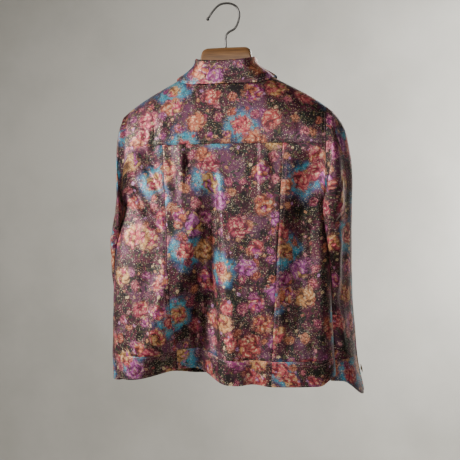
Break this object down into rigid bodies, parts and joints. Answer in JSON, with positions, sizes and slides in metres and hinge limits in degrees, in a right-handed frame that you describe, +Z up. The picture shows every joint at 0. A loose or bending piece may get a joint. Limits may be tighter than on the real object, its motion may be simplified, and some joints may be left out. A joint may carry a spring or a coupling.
{
  "type": "trucker jacket on a clothes hanger",
  "caption": "Hip-length trucker jacket in an all-over flower print, with yoke, waistband, turned-down collar and cuffed sleeves, hanging on a wooden hanger.",
  "frame": {"origin": "inside top of the hanger's hook, where a rail carries it", "axes": "+Z up, +X towards the wearer's left, -Y out of the garment's front, +Y out of its back"},
  "size_m": [0.5503, 0.2058, 0.8082],
  "materials": {
    "cloth": "satin, printed with flowers",
    "button": "aged",
    "hanger": "varnished",
    "hook": "dull"
  },
  "bodies": {
    "root": {"back_yoke": "cloth", "back_center": "cloth", "back_side_left": "cloth", "back_side_right": "cloth", "front_left": "cloth", "front_right": "cloth", "placket_under": "cloth", "placket_over": "cloth", "waistband_back": "cloth", "waistband_left": "cloth", "waistband_right": "cloth", "collar": "cloth", "sleeve_top_left": "cloth", "sleeve_under_left": "cloth", "cuff_left": "cloth", "sleeve_top_right": "cloth", "sleeve_under_right": "cloth", "cuff_right": "cloth", "button_front_1": "button", "button_front_2": "button", "button_front_3": "button", "button_front_4": "button", "button_front_5": "button", "button_front_6": "button", "button_waistband": "button", "button_cuff_left": "button", "button_cuff_right": "button", "hanger_wood": "hanger", "hanger_hook": "hook", "hanger_hook_tip": "hook"}
  },
  "joints": []
}
